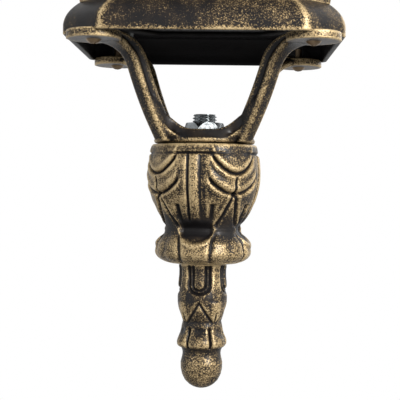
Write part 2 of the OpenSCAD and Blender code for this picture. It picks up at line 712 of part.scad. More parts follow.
module hanging_tube() {
    color([0.72, 0.74, 0.74]) in_lantern() translate([0, 0, stem_low_z]) difference() {
        cylinder(d = stem_d, h = stem_top_z - stem_low_z);
        translate([0, 0, -1]) cylinder(d = stem_bore, h = stem_top_z - stem_low_z + 2);
        translate([0, 0, arm_z - stem_low_z]) rotate([-90, 0, 0]) cylinder(r = arm_wire_r, h = stem_d);
    }
}

module roof_nut() {
    color([0.80, 0.82, 0.81]) in_lantern() translate([0, 0, roof_nut_z])
        hex_nut(stem_nut_af, stem_nut_h, stem_d);
}

module cap_nut() {
    af = 17;
    skirt_h = 8;
    dome_r = af / 2;
    color([0.42, 0.33, 0.20]) in_lantern() translate([0, 0, eye_top_z]) difference() {
        union() {
            rotate([0, 0, 30]) cylinder(d = af / cos(30), h = skirt_h, $fn = 6);
            translate([0, 0, skirt_h - 1]) dome(dome_r, dome_r + 1);
        }
        translate([0, 0, -1]) cylinder(d = stem_d, h = cap_socket_h + 1);
    }
}

// The arm's route: out of the wall plate, up behind the roof, then out over it
module arm_route(r) {
    root_l = plate_d + rosette_t + arm_root;
    turn_z = arm_run_z - arm_high_bend;
    rotate([90, 0, 0]) cylinder(r = r, h = root_l);
    translate([0, -root_l, arm_low_bend]) rotate([0, 90, 180]) rotate_extrude(angle = 90)
        translate([arm_low_bend, 0]) circle(r);
    translate([0, arm_rise_y, arm_low_bend]) cylinder(r = r, h = turn_z - arm_low_bend);
    translate([0, arm_rise_y - arm_high_bend, turn_z]) rotate([0, -90, 0]) rotate_extrude(angle = 90)
        translate([arm_high_bend, 0]) circle(r);
    translate([0, arm_rise_y - arm_high_bend, arm_run_z]) rotate([90, 0, 0])
        cylinder(r = r, h = reach + arm_rise_y - arm_high_bend);
}

module arm() {
    eye_hole_r = stem_d / 2 + fit_gap;
    stub_l = plate_wall + 10;
    color([0.32, 0.25, 0.15]) difference() {
        union() {
            difference() {
                arm_route(arm_r);
                rotate([90, 0, 0]) translate([0, 0, -1]) cylinder(r = 2 * arm_r, h = plate_d + 1);
            }
            translate([0, -plate_d, 0]) rotate([90, 0, 0]) {
                cylinder(r = rosette_r, h = rosette_t - 2);
                cylinder(r1 = rosette_r - 2, r2 = arm_r + 3, h = rosette_t);
            }
            translate([0, -plate_d + stub_l, 0]) rotate([90, 0, 0]) cylinder(d = stem_d, h = stub_l + 1);
            translate([0, -reach, arm_run_z - arm_eye_h / 2]) cylinder(r = arm_eye_r, h = arm_eye_h);
        }
        translate([0, -reach, arm_run_z - arm_eye_h]) cylinder(r = eye_hole_r, h = 2 * arm_eye_h);
        arm_route(arm_wire_r);
    }
}

module arm_nut() {
    color([0.80, 0.82, 0.81]) translate([0, plate_inner_y + stem_nut_h, 0]) rotate([90, 0, 0])
        hex_nut(stem_nut_af, stem_nut_h, stem_d);
}

// One moulded step of the wall plate, as a slab from the wall out to a depth
module plate_slab(inset, from_y, to_y) {
    translate([0, -from_y, 0]) rotate([90, 0, 0]) linear_extrude(to_y - from_y)
        polygon(chamfered(plate_w / 2 - inset, plate_h / 2 - inset, plate_chamfer));
}

module wall_plate() {
    color([0.30, 0.24, 0.15]) difference() {
        union() {
            plate_slab(0, seal_t, plate_d / 2);
            plate_slab(plate_brim, seal_t, plate_d - 4);
            plate_slab(plate_crown, seal_t, plate_d);
        }
        plate_slab(plate_brim + plate_wall, 0, plate_d - 4 - plate_wall);
        plate_slab(plate_crown + plate_wall, 0, plate_d - plate_wall);
        rotate([90, 0, 0]) cylinder(d = stem_d + 2 * fit_gap, h = plate_d + 1);
        for (side = [-1, 1]) translate([0, 0, side * stud_spacing / 2]) rotate([90, 0, 0])
            cylinder(d = stud_d + 2 * fit_gap, h = plate_d + 1);
    }
}

module wall_seal() {
    color([0.08, 0.08, 0.08]) difference() {
        plate_slab(0.5, 0, seal_t);
        plate_slab(0.5 + seal_w, -1, seal_t + 1);
    }
}

module through_bar(z, d) {
    translate([0, 1, z]) rotate([90, 0, 0]) cylinder(d = d, h = bar_strip_t + 2);
}

module crossbar() {
    color([0.75, 0.76, 0.75]) difference() {
        translate([-bar_strip_w / 2, -bar_strip_t, -crossbar_l / 2])
            cube([bar_strip_w, bar_strip_t, crossbar_l]);
        for (side = [-1, 1]) {
            through_bar(side * fixing_spacing / 2, fixing_d);
            through_bar(side * stud_spacing / 2, stud_d);
        }
        through_bar(0, stem_d + 4);
        through_bar(earth_z, earth_d);
    }
}

module plate_studs() {
    color([0.78, 0.79, 0.78]) for (side = [-1, 1]) translate([0, 0, side * stud_spacing / 2]) rotate([90, 0, 0]) {
        cylinder(d = stud_d, h = plate_d + 5);
        translate([0, 0, bar_strip_t]) cylinder(d = stud_d + 3, h = 3, $fn = 6);
    }
}

module plate_nuts() {
    color([0.42, 0.33, 0.20]) for (side = [-1, 1])
        translate([0, -plate_d, side * stud_spacing / 2]) rotate([90, 0, 0]) difference() {
            union() {
                cylinder(d = stud_nut_af / cos(30), h = stud_nut_h, $fn = 6);
                translate([0, 0, stud_nut_h - 0.5]) dome(stud_nut_af / 2, stud_nut_af / 2 + 0.5);
            }
            translate([0, 0, -1]) cylinder(d = stud_d, h = 6.2);
        }
}

module terminal_block() {
    color([0.90, 0.89, 0.85]) translate([terminal_x, plate_inner_y, terminal_z]) difference() {
        translate([-terminal_w / 2, 0, -terminal_l / 2]) cube([terminal_w, terminal_h, terminal_l]);
        for (i = [-1:1]) translate([0, 0, i * terminal_pitch]) {
            translate([0, terminal_h / 2, 0]) rotate([0, 90, 0])
                cylinder(d = wire_hole_d, h = terminal_w + 2, center = true);
            for (side = [-1, 1]) translate([side * terminal_screw_x, 4, 0]) rotate([-90, 0, 0])
                cylinder(d = terminal_screw_d + fit_gap, h = terminal_h);
        }
    }
}

module terminal_screws() {
    slot_w = 0.8;
    color([0.78, 0.74, 0.52]) translate([terminal_x, plate_inner_y + terminal_h - 1.5, terminal_z])
        for (i = [-1:1], side = [-1, 1])
            translate([side * terminal_screw_x, 0, i * terminal_pitch]) rotate([90, 0, 0]) difference() {
                cylinder(d = terminal_screw_d, h = 4);
                translate([-terminal_screw_d, -slot_w / 2, -1]) cube([2 * terminal_screw_d, slot_w, 1 + slot_w]);
            }
}

module earth_screw() {
    color([0.80, 0.72, 0.42]) translate([0, -bar_strip_t, earth_z]) rotate([-90, 0, 0])
        pan_screw(earth_d, 2 * earth_d, 2.2, bar_strip_t);
}

module lampholder_cap() {
    neck_r = stem_d / 2 + 3.5;
    color([0.75, 0.76, 0.75]) in_lantern() translate([0, 0, holder_cap_z]) difference() {
        union() {
            cylinder(r1 = holder_r, r2 = neck_r + 2.5, h = 5);
            cylinder(r = neck_r, h = holder_cap_h);
        }
        translate([0, 0, holder_floor]) cylinder(d = stem_d, h = holder_cap_h);
        translate([0, 0, -1]) cylinder(d = stem_bore, h = holder_cap_h);
    }
}

module lampholder_body() {
    color([0.93, 0.92, 0.88]) in_lantern() translate([0, 0, holder_z]) difference() {
        union() {
            cylinder(r = holder_r, h = holder_h);
            cylinder(r = holder_r + 1, h = 5);
        }
        translate([0, 0, -1]) cylinder(r = shell_r + 1 + fit_gap, h = holder_h - holder_lid + 1);
        cylinder(d = stem_bore, h = holder_h + 1);
    }
}

module lampholder_shell() {
    shell_h = holder_h - holder_lid - 4;
    color([0.80, 0.68, 0.38]) in_lantern() translate([0, 0, holder_z + 4]) difference() {
        cylinder(r = shell_r + 1, h = shell_h);
        translate([0, 0, -1]) cylinder(r = shell_r, h = shell_h);
        cylinder(r = shell_r * 0.6, h = holder_h);
    }
}

module lampholder_contact() {
    strip_w = 6;
    strip_l = 12;
    color([0.80, 0.68, 0.38]) in_lantern() translate([0, 0, holder_z + holder_h - holder_lid - 2]) {
        translate([-strip_w / 2, -strip_l / 2, 1]) cube([strip_w, strip_l, 1]);
        cylinder(d = strip_w, h = 1.2);
    }
}

// The lamp: a screw cap inside the shell, a neck and a round bulb
module lamp() {
    cap_r = shell_r - 0.4;
    cap_top = holder_h - holder_lid - 2.2;
    globe_z = -lamp_l + lamp_r;
    color([0.95, 0.95, 0.90, 0.6]) in_lantern() translate([0, 0, holder_z]) rotate_extrude() polygon(concat(
        [for (i = [0:10]) let (a = -90 + 12.6 * i) [lamp_r * max(0, cos(a)), globe_z + lamp_r * sin(a)]],
        [[cap_r + 2.5, -8], [cap_r + 0.2, 2], [cap_r, 3], [cap_r, cap_top - 8],
            [6, cap_top - 3], [5, cap_top], [0, cap_top]]));
}

foot();
floor_plate();
yoke();
yoke_screws();
threaded_tube();
hub_nut();
finial_cup();
finial_drop();
cage();
cage_screws();
glass_front();
glass_right();
glass_rear();
glass_left();
glass_clips();
roof();
roof_screws();
roof_seal();
roof_crown();
hanging_tube();
roof_nut();
cap_nut();
arm();
arm_nut();
wall_plate();
wall_seal();
crossbar();
plate_studs();
plate_nuts();
terminal_block();
terminal_screws();
earth_screw();
lampholder_cap();
lampholder_body();
lampholder_shell();
lampholder_contact();
lamp();
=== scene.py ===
"""Looks of the outdoor wall light: camera, soft light, castings in rubbed patina, plated and
clear parts. Lengths are in millimetres unless a name or a comment says otherwise, and angles
are in degrees, with 0 to the front and + to the right."""
import json
import math

import bpy
import numpy as np
from mathutils import Matrix, Vector


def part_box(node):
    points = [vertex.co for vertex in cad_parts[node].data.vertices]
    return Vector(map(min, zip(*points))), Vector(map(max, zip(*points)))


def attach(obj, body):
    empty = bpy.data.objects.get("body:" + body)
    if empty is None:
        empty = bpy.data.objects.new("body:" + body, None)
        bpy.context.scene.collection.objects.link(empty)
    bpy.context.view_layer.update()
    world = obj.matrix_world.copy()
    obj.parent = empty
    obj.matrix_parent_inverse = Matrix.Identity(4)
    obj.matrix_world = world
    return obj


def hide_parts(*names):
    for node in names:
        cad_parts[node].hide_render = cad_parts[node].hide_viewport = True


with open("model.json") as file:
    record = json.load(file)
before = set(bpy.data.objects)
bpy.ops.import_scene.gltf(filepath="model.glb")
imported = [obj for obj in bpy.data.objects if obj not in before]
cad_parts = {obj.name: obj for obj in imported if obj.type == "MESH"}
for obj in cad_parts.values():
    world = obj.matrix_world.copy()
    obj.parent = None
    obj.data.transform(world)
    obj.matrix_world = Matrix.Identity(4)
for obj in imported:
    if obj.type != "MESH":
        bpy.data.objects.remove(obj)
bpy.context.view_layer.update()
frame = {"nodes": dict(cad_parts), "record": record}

MM = 0.001

# Places of the castings, from the frame; FOOT_MIDDLE is the middle of the foot's lower edge
tube_low, tube_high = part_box("threaded_tube")
AXIS_X = (tube_low[0] + tube_high[0]) / 2 / MM
AXIS_Y = (tube_low[1] + tube_high[1]) / 2 / MM
TUBE_LOW_Z, TUBE_TOP_Z = tube_low[2] / MM, tube_high[2] / MM
FOOT_EDGE_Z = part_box("foot")[0][2] / MM
CUP_TOP_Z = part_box("finial_cup")[1][2] / MM
DROP_TOP_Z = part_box("finial_drop")[1][2] / MM
FOOT_MIDDLE = (AXIS_X, AXIS_Y, FOOT_EDGE_Z)


# Camera, lamps, floor and world, placed in metres
CAMERA_PLACE = (0.0117, -0.678, -0.2187)
CAMERA_LENS, SENSOR_W = 91.35, 36
CAMERA_YAW, CAMERA_PITCH, CAMERA_ROLL = 1.54, -0.65, 0.8
CAMERA_NEAREST = 0.01
LAMP_AIM = (0.0, -0.175, -0.20)

# Each lamp's name, place, size, power in watts and colour
LAMPS = [
    ("key_right", (0.80, -1.15, 0.20), 0.5, 31, (1.0, 0.98, 0.95)),
    ("fill_left", (-1.1, -0.9, 0.0), 1.2, 4, (0.95, 0.97, 1.0)),
    ("back_right", (0.9, 0.7, 0.2), 0.8, 4, (1.0, 1.0, 1.0))]

FLOOR_SIZE, FLOOR_PLACE = 4, (0, -0.3, -1.6)
WORLD_WHITE = (1.0, 1.0, 1.0, 1.0)
WORLD_LIGHT, WORLD_SEEN = 0.29, 1.0


def place_camera():
    bpy.ops.object.camera_add(location=CAMERA_PLACE)
    camera = bpy.context.object
    camera.name = "Camera"
    camera.data.lens = CAMERA_LENS
    camera.data.sensor_width = SENSOR_W
    camera.data.clip_start = CAMERA_NEAREST
    turn = (Matrix.Rotation(math.radians(CAMERA_YAW), 3, "Z")
            @ Matrix.Rotation(math.radians(90 + CAMERA_PITCH), 3, "X")
            @ Matrix.Rotation(math.radians(CAMERA_ROLL), 3, "Z"))
    camera.rotation_euler = turn.to_euler()
    bpy.context.scene.camera = camera


def place_lamp(name, place, size, power, colour):
    bpy.ops.object.light_add(type="AREA", location=place)
    lamp = bpy.context.object
    lamp.name = name
    lamp.data.shape = "DISK"
    lamp.data.size = size
    lamp.data.energy = power
    lamp.data.color = colour
    away = Vector(place) - Vector(LAMP_AIM)
    lamp.rotation_euler = away.to_track_quat("Z", "Y").to_euler()


def make_floor():
    deselect()
    bpy.ops.mesh.primitive_plane_add(size=FLOOR_SIZE, location=FLOOR_PLACE)
    floor = bpy.context.object
    floor.name = "studio_floor"
    finish = Finish("pale_floor")
    shade = finish.blend(finish.noise(4.0), (0.80, 0.80, 0.81), (0.83, 0.83, 0.84))
    finish.set(Base_Color=shade, Roughness=0.9)
    floor.data.materials.append(finish.material)


def set_world():
    """White to the camera, in reflections and through the panes, and dimmer as a light."""
    world = bpy.data.worlds.new("studio_white")
    bpy.context.scene.world = world
    world.use_nodes = True
    nodes, links = world.node_tree.nodes, world.node_tree.links
    rays = nodes.new("ShaderNodeLightPath").outputs
    seen = rays["Is Camera Ray"]
    for kind in ("Is Glossy Ray", "Is Transmission Ray"):
        either = nodes.new("ShaderNodeMath")
        either.operation = "MAXIMUM"
        links.new(seen, either.inputs[0])
        links.new(rays[kind], either.inputs[1])
        seen = either.outputs[0]
    level = nodes.new("ShaderNodeMapRange")
    links.new(seen, level.inputs["Value"])
    level.inputs["To Min"].default_value = WORLD_LIGHT
    level.inputs["To Max"].default_value = WORLD_SEEN
    sky = nodes["Background"]
    links.new(level.outputs["Result"], sky.inputs["Strength"])
    sky.inputs["Color"].default_value = WORLD_WHITE


# Materials
class Finish:
    """A node material that is built socket by socket."""

    def __init__(self, name):
        self.material = bpy.data.materials.new(name)
        self.material.use_nodes = True
        self.tree = self.material.node_tree
        self.shader = self.tree.nodes["Principled BSDF"]
        self.place = self.node("ShaderNodeTexCoord").outputs["Object"]

    def node(self, kind, **settings):
        made = self.tree.nodes.new(kind)
        for key, value in settings.items():
            setattr(made, key, value)
        return made

    def feed(self, socket, value):
        if hasattr(value, "links"):
            self.tree.links.new(value, socket)
        else:
            socket.default_value = value

    def attribute(self, name):
        return self.node("ShaderNodeAttribute", attribute_name=name).outputs["Fac"]

    def noise(self, scale, detail=3.0, rough=0.6):
        made = self.node("ShaderNodeTexNoise")
        self.feed(made.inputs["Vector"], self.place)
        made.inputs["Scale"].default_value = scale
        made.inputs["Detail"].default_value = detail
        made.inputs["Roughness"].default_value = rough
        return made.outputs["Fac"]

    def maths(self, operation, *values):
        made = self.node("ShaderNodeMath", operation=operation)
        for socket, value in zip(made.inputs, values):
            self.feed(socket, value)
        return made.outputs[0]

    def ramped(self, value, low, high, start=0.0, end=1.0):
        """From start at low to end at high, eased at both."""
        made = self.node("ShaderNodeMapRange", interpolation_type="SMOOTHSTEP")
        self.feed(made.inputs["Value"], value)
        names = ("From Min", "From Max", "To Min", "To Max")
        for name, number in zip(names, (low, high, start, end)):
            made.inputs[name].default_value = number
        return made.outputs["Result"]

    def blend(self, share, a, b):
        """Colour a where share is 0, and colour b where it is 1."""
        made = self.node("ShaderNodeMix", data_type="RGBA")
        self.feed(made.inputs["Factor"], share)
        self.feed(made.inputs["A"], a if hasattr(a, "links") else (*a, 1.0))
        self.feed(made.inputs["B"], b if hasattr(b, "links") else (*b, 1.0))
        return made.outputs["Result"]

    def relief(self, height, depth, strength):
        made = self.node("ShaderNodeBump")
        made.inputs["Strength"].default_value = strength
        made.inputs["Distance"].default_value = depth * MM
        self.feed(made.inputs["Height"], height)
        self.feed(self.shader.inputs["Normal"], made.outputs["Normal"])

    def set(self, **values):
        for name, value in values.items():
            self.feed(self.shader.inputs[name.replace("_", " ")], value)


# The patina's colours, and the scale, detail and roughness of each of its layers of noise
# The darkest black is the black paint, and it is also the painted shade in hollows.
BLACK_PAINT_AND_SHADE = (0.0055, 0.005, 0.0055)
UMBER = (0.017, 0.0125, 0.0095)
OLD_GOLD = (0.26, 0.18, 0.085)
# BRIGHT_GOLD is thicker rubbed gold and partly a painted highlight.
BRIGHT_GOLD = (0.50, 0.385, 0.215)
SPECKLE, GRAIN = (1500, 2.0, 0.8), (3200, 1.0, 0.5)
PATCHES, DRIFTS = (110, 3.0, 0.6), (26, 2.0, 0.5)

# How much of each layer goes into the gold, and between which amounts the gold comes up
SPECKLE_PART, GRAIN_PART, DRIFTS_PART = 2.6, 0.9, 0.5
PATCHES_PART, PATCHES_PART_FAR = 0.9, 0.35
GOLD_FROM, GOLD_FULL = 2.88, 3.35
TINT_FROM, TINT_FULL = 3.0, 3.75
HOLLOW_FROM, HOLLOW_FULL, HOLLOW_SPECKLE = 0.6, 1.2, 0.9
COAT, HOLLOW_COAT = 0.14, 0.02


def rubbed_patina(name, bias=0.0, from_shape=True):
    """Black cast paint with gold rubbed over what stands proud, broken by a fine speckle.
    Where it is rubbed comes from the piece's own attributes, or else from its edges. On pieces
    with attributes the hollows are painted near black as shade over the black paint, and the
    brightest gold, where it is rubbed most, is thicker gold and partly a painted highlight."""
    finish = Finish(name)
    speckle, grain = finish.noise(*SPECKLE), finish.noise(*GRAIN)
    patches, drifts = finish.noise(*PATCHES), finish.noise(*DRIFTS)
    if from_shape:
        amount = finish.attribute("rubbed")
    else:
        edge = finish.node("ShaderNodeAmbientOcclusion", inside=True, samples=8)
        edge.inputs["Distance"].default_value = 2.5 * MM
        amount = finish.ramped(edge.outputs["AO"], 0.95, 0.55, 0.42, 0.95)
    patches_part = PATCHES_PART if from_shape else PATCHES_PART_FAR
    for layer, part in ((speckle, SPECKLE_PART), (grain, GRAIN_PART),
                        (patches, patches_part), (drifts, DRIFTS_PART)):
        amount = finish.maths("MULTIPLY_ADD", layer, part, amount)
    gold = finish.ramped(amount, GOLD_FROM - bias, GOLD_FULL - bias)
    # The bright gold tint comes up where the gold is rubbed most: thicker gold, and partly a
    # painted highlight.
    tint = finish.ramped(amount, TINT_FROM - bias, TINT_FULL - bias)
    ground = finish.blend(finish.ramped(patches, 0.35, 0.75), BLACK_PAINT_AND_SHADE, UMBER)
    colour = finish.blend(gold, ground, finish.blend(tint, OLD_GOLD, BRIGHT_GOLD))
    coat = COAT
    # Painted shade: hollows are darkened to near black, with less gold and less coat, over the
    # black paint.
    if from_shape:
        hollow = finish.maths("MULTIPLY_ADD", speckle, HOLLOW_SPECKLE, finish.attribute("hollow"))

        def by_hollow(start, end):
            return finish.ramped(hollow, HOLLOW_FROM, HOLLOW_FULL, start, end)

        colour = finish.blend(by_hollow(0.0, 0.95), colour, BLACK_PAINT_AND_SHADE)
        gold = finish.maths("MULTIPLY", gold, by_hollow(1.0, 0.0))
        coat = by_hollow(COAT, HOLLOW_COAT)
    finish.set(Base_Color=colour, Metallic=finish.maths("MULTIPLY", gold, 0.55),
               Specular_IOR_Level=0.1, Coat_Weight=coat, Coat_Roughness=0.28,
               Roughness=finish.ramped(speckle, 0.3, 0.7, 0.38, 0.55))
    finish.relief(finish.maths("MULTIPLY_ADD", grain, 0.4, speckle), 0.35, 0.5)
    return finish.material


def plated(name, colour, rough):
    finish = Finish(name)
    blotch = finish.noise(140)
    fine = finish.noise(900, 2.0)
    darker = tuple(0.62 * part for part in colour)
    finish.set(Base_Color=finish.blend(finish.ramped(blotch, 0.35, 0.7), colour, darker),
               Roughness=finish.ramped(fine, 0.3, 0.7, rough - 0.07, rough + 0.1), Metallic=1.0)
    finish.relief(fine, 0.05, 0.3)
    return finish.material


def matt(name, colour, second, rough, coat=0.0):
    finish = Finish(name)
    patches = finish.noise(60)
    fine = finish.noise(700, 2.0)
    finish.set(Base_Color=finish.blend(finish.ramped(patches, 0.35, 0.7), colour, second),
               Roughness=finish.ramped(fine, 0.3, 0.7, rough - 0.05, rough + 0.08),
               Coat_Weight=coat)
    finish.relief(fine, 0.06, 0.25)
    return finish.material


def clear_pane(name):
    finish = Finish(name)
    film = finish.noise(18)
    finish.set(Base_Color=finish.blend(film, (0.93, 0.96, 0.95), (0.97, 0.98, 0.97)),
               Roughness=finish.ramped(film, 0.3, 0.7, 0.01, 0.05),
               Transmission_Weight=1.0, IOR=1.45)
    return finish.material


def opal_bulb(name):
    finish = Finish(name)
    milk = finish.noise(40, 2.0, 0.5)
    finish.set(Base_Color=finish.blend(milk, (0.86, 0.84, 0.78), (0.92, 0.91, 0.87)),
               Roughness=finish.ramped(milk, 0.3, 0.7, 0.2, 0.3), Subsurface_Weight=0.2)
    return finish.material


# Soft steps, ridges and lines
def bump(x, width):
    """1 at x = 0, and near 0 beyond twice the width."""
    return np.exp(-(x / width) ** 2)


def ramp(x, low, high):
    """0 up to low and 1 from high on, eased between them."""
    t = np.clip((x - low) / (high - low), 0.0, 1.0)
    return t * t * (3 - 2 * t)


def between(x, low, low_full, high_full, high):
    """1 between the two full places, and 0 outside low and high."""
    return ramp(x, low, low_full) * (1 - ramp(x, high_full, high))


def wrapped(angle, period):
    return angle - period * np.round(angle / period)


def ridges(x, table):
    """Ridges side by side, and grooves where the height is below 0: height, place, width."""
    return sum(height * bump(x - place, width) for height, place, width in table)


def soft_line(x, table, blur):
    """A line through the table's points, with its corners blurred."""
    xs, ys = zip(*table)
    steps = np.linspace(-2, 2, 9)
    weights = np.exp(-steps ** 2)
    blurred = sum(w * np.interp(x + s * blur, xs, ys) for w, s in zip(weights, steps))
    return blurred / weights.sum()


# Meshes
def deselect():
    bpy.ops.object.select_all(action="DESELECT")


def read_vectors(mesh, what):
    values = np.empty(len(mesh.vertices) * 3)
    mesh.vertices.foreach_get(what, values)
    return values.reshape(-1, 3)


def edge_ends(mesh):
    ends = np.empty(len(mesh.edges) * 2, dtype=np.int64)
    mesh.edges.foreach_get("vertices", ends)
    return ends.reshape(-1, 2).T


def neighbour_mean(a, b, count):
    """A function that gives the mean of each point's neighbours, over edges from a to b."""
    degree = np.bincount(a, minlength=count) + np.bincount(b, minlength=count)
    degree = np.maximum(degree, 1)[:, None]

    def mean(points):
        return np.column_stack([
            np.bincount(a, points[b, k], count) + np.bincount(b, points[a, k], count)
            for k in range(3)]) / degree

    return mean


def nearest(share, count):
    """Place in a list of that count, at a share of its length from 0 to 1."""
    return np.round(share * (count - 1)).astype(int)


def round_axis(r, angle, z):
    a = np.radians(angle)
    return AXIS_X + r * np.sin(a), AXIS_Y - r * np.cos(a), z


def woven(name, around, along, place):
    """A grid that place() lays out; what meets is merged, so rings and poles close."""
    deselect()
    bpy.ops.mesh.primitive_grid_add(x_subdivisions=around, y_subdivisions=along, size=1)
    piece = bpy.context.object
    piece.name = name
    flat = read_vectors(piece.data, "co")
    x, y, z = place(flat[:, 0] + 0.5, flat[:, 1] + 0.5)
    piece.data.vertices.foreach_set("co", np.column_stack([x, y, z]).ravel() * MM)
    piece.data.update()
    bpy.ops.object.mode_set(mode="EDIT")
    bpy.ops.mesh.select_all(action="SELECT")
    bpy.ops.mesh.remove_doubles(threshold=1e-6)
    bpy.ops.mesh.fill_holes(sides=0)
    bpy.ops.mesh.select_all(action="SELECT")
    bpy.ops.mesh.normals_make_consistent(inside=False)
    bpy.ops.object.mode_set(mode="OBJECT")
    bpy.ops.object.transform_apply(location=True, rotation=True, scale=True)
    return piece


def turned(name, sides, top, profile, relief):
    """A piece turned on the lantern's axis, with relief(depth, angle, radius) on its skin.
    Each row of the profile is a radius, a depth under the top and a share of the relief."""
    rows = np.array(profile)

    def place(u, v):
        r, d, share = rows[nearest(v, len(rows))].T
        angle = u * 360 - 180
        return round_axis(r + share * relief(d, angle, r), angle, top - d)

    return woven(name, sides, len(rows) - 1, place)


def lofted(name, rings):
    """A skin over closed rings of points, which count from the middle of the foot's edge."""
    def place(u, v):
        x, y, z = rings[nearest(v, len(rings)), nearest(u, rings.shape[1])].T
        return AXIS_X + x, AXIS_Y + y, FOOT_EDGE_Z + z

    return woven(name, rings.shape[1] - 1, len(rings) - 1, place)


# How fast a surface settles towards its neighbours, and how much less gold makes a hollow that is
# painted near black as shade
SETTLING, HOLLOW_WEAR_AND_SHADE = 0.65, 0.6


def rub(piece, wear_of, worn, fine=6, broad=60, fine_gain=2.2, broad_gain=0.35):
    """Writes where the gold is rubbed on and where it is hollow, as attributes of the piece;
    the hollow one is where the patina is painted near black as shade. Both come from how far
    each point stands proud of its surroundings, near and wide, and from the wear and painted
    shade that the given function returns for the points and their normals, with the points
    counted from the foot's middle."""
    mesh = piece.data
    points, normals = read_vectors(mesh, "co") / MM, read_vectors(mesh, "normal")
    mean = neighbour_mean(*edge_ends(mesh), len(points))
    smooth = points
    proud = np.zeros(len(points))
    for step in range(1, broad + 1):
        smooth = (1 - SETTLING) * smooth + SETTLING * mean(smooth)
        if step == fine:
            proud += fine_gain * ((points - smooth) * normals).sum(axis=1)
    proud += broad_gain * ((points - smooth) * normals).sum(axis=1)
    wear = wear_of(points - FOOT_MIDDLE, normals)
    rubbed = mesh.attributes.new("rubbed", "FLOAT", "POINT")
    rubbed.data.foreach_set("value", np.clip(worn + proud + wear, -1.0, 1.0))
    # The shaded hollow: concave places and strong negative wear, which the patina paints near
    # black as shade.
    hollow = mesh.attributes.new("hollow", "FLOAT", "POINT")
    deep = np.maximum(-wear - HOLLOW_WEAR_AND_SHADE, 0) - proud
    hollow.data.foreach_set("value", np.clip(deep, 0.0, 1.0))


def from_front(points, turn, radius):
    """Distance round a circle from the middle of the nearest of four sides."""
    side = np.degrees(np.arctan2(points[:, 0], -points[:, 1])) - turn
    return np.abs(np.radians(wrapped(side, 90))) * radius


def finish_piece(piece, nodes, material, angle=60):
    deselect()
    piece.select_set(True)
    bpy.context.view_layer.objects.active = piece
    bpy.ops.object.shade_smooth_by_angle(angle=math.radians(angle))
    piece.data.materials.clear()
    piece.data.materials.append(material)
    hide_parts(*nodes)
    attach(piece, "root")


# The cup: depth under its rim, and radius at its ribs
CUP_TURN, CUP_H, CUP_MEAN_R, BORE_R = -9.5, 58.0, 19.0, 6.3
CUP_CARVED_FROM, CUP_CARVED_TO = 0.6, 57.2
CUP_STEPS, CUP_SIDES = 236, 288
CUP_LINE = [
    (0, 25.4), (0.4, 25.9), (1.8, 26.3), (3.3, 26.5), (4.8, 26.8), (6.3, 27.2), (9.3, 27.6),
    (12.2, 27.8), (15.2, 27.8), (18.2, 27.7), (21.2, 27.2), (24.1, 26.5), (27.1, 25.6),
    (30.1, 24.2), (33, 22.9), (36, 21.0), (39, 19.1), (40.5, 18.6), (42, 18.7), (43.5, 19.5),
    (45, 20.8), (46.5, 22.0), (48, 23.0), (51, 23.6), (52.5, 23.8), (54, 23.5), (55.5, 22.4),
    (56.8, 20.6), (57.6, 18.6), (58, 16.6)]

# Its carving: ridges and grooves by height, place and width
RIB_RIDGES = [(-1.15, -2.9, 0.6), (-0.6, 3.0, 0.8), (-0.55, 4.6, 1.5), (0.35, 0.0, 1.9)]
SWAG_RIDGES = [(0.6, -2.4, 1.5), (0.5, 2.0, 1.1), (-1.6, 0.0, 0.75)]
LEAF_RIDGES = [(-1.6, 0.0, 0.95), (0.35, -1.9, 1.1)]

# The swags by depth, bend and reach, and the leaf's edge by depth and angle from its rib
SWAGS = [(14.2, 0.053, 12.6), (23.8, 0.034, 14.4)]
LEAF_EDGE = [(20, 46), (24, 43.5), (28, 41), (31, 38.3), (34, 35.8), (37, 31.5), (40, 27),
             (43, 23)]


def cup_relief(d, angle, r):
    """The cup's carving at a depth: u runs across the nearest rib, w across the field."""
    rib = wrapped(angle - CUP_TURN, 90)
    u = np.radians(rib) * r
    w = np.radians(wrapped(angle - CUP_TURN - 45, 90)) * r
    rim = -bump(d - 4.5, 0.6) * (1 - 0.9 * ramp(np.abs(rib), 16, 40))
    ribs = between(d, 4.8, 6.2, 35, 39) * ridges(u, RIB_RIDGES)
    swags = 0.0
    for middle, bend, reach in SWAGS:
        off = (d - middle + bend * w * w) / np.sqrt(1 + (2 * bend * w) ** 2)
        here = 1 - ramp(np.abs(w), reach - 1.4, reach + 0.4)
        swags = swags + here * ridges(off, SWAG_RIDGES)
    seam = -1.2 * bump(w, 0.6) * between(d, 15, 17, 24, 27)
    from_edge = np.radians(np.abs(rib) - np.interp(d, *zip(*LEAF_EDGE))) * r
    leaves = between(d, 21, 25, 38, 41) * ridges(from_edge, LEAF_RIDGES)
    from_wedge = np.radians(np.abs(rib) - 21) * r
    wedges = -1.9 * between(d, 28.4, 29.2, 33, 41) * bump(from_wedge, 1.3)
    petal = 1 - ramp(np.abs(u), 7.0, 8.8)
    lip = d - 47.6 + 0.066 * u * u
    under = ramp(d, 37, 41) * (1 - ramp(lip, -1.2, 0.5))
    petals = petal * (0.7 * bump(lip - 1.5, 1.5) - 1.6 * under)
    neck = 1.1 * (1 - petal) * bump(d - 41, 4.0)
    fold = 0.95 * bump(np.abs(u) - 8.6 + 0.12 * (d - 46), 1.1)
    flare = -ramp(d, 41, 46) * (fold + 0.4 * bump(w, 2.2) + 0.3 * (1 - petal))
    return rim + ribs + swags + seam + leaves + wedges + petals + neck + flare


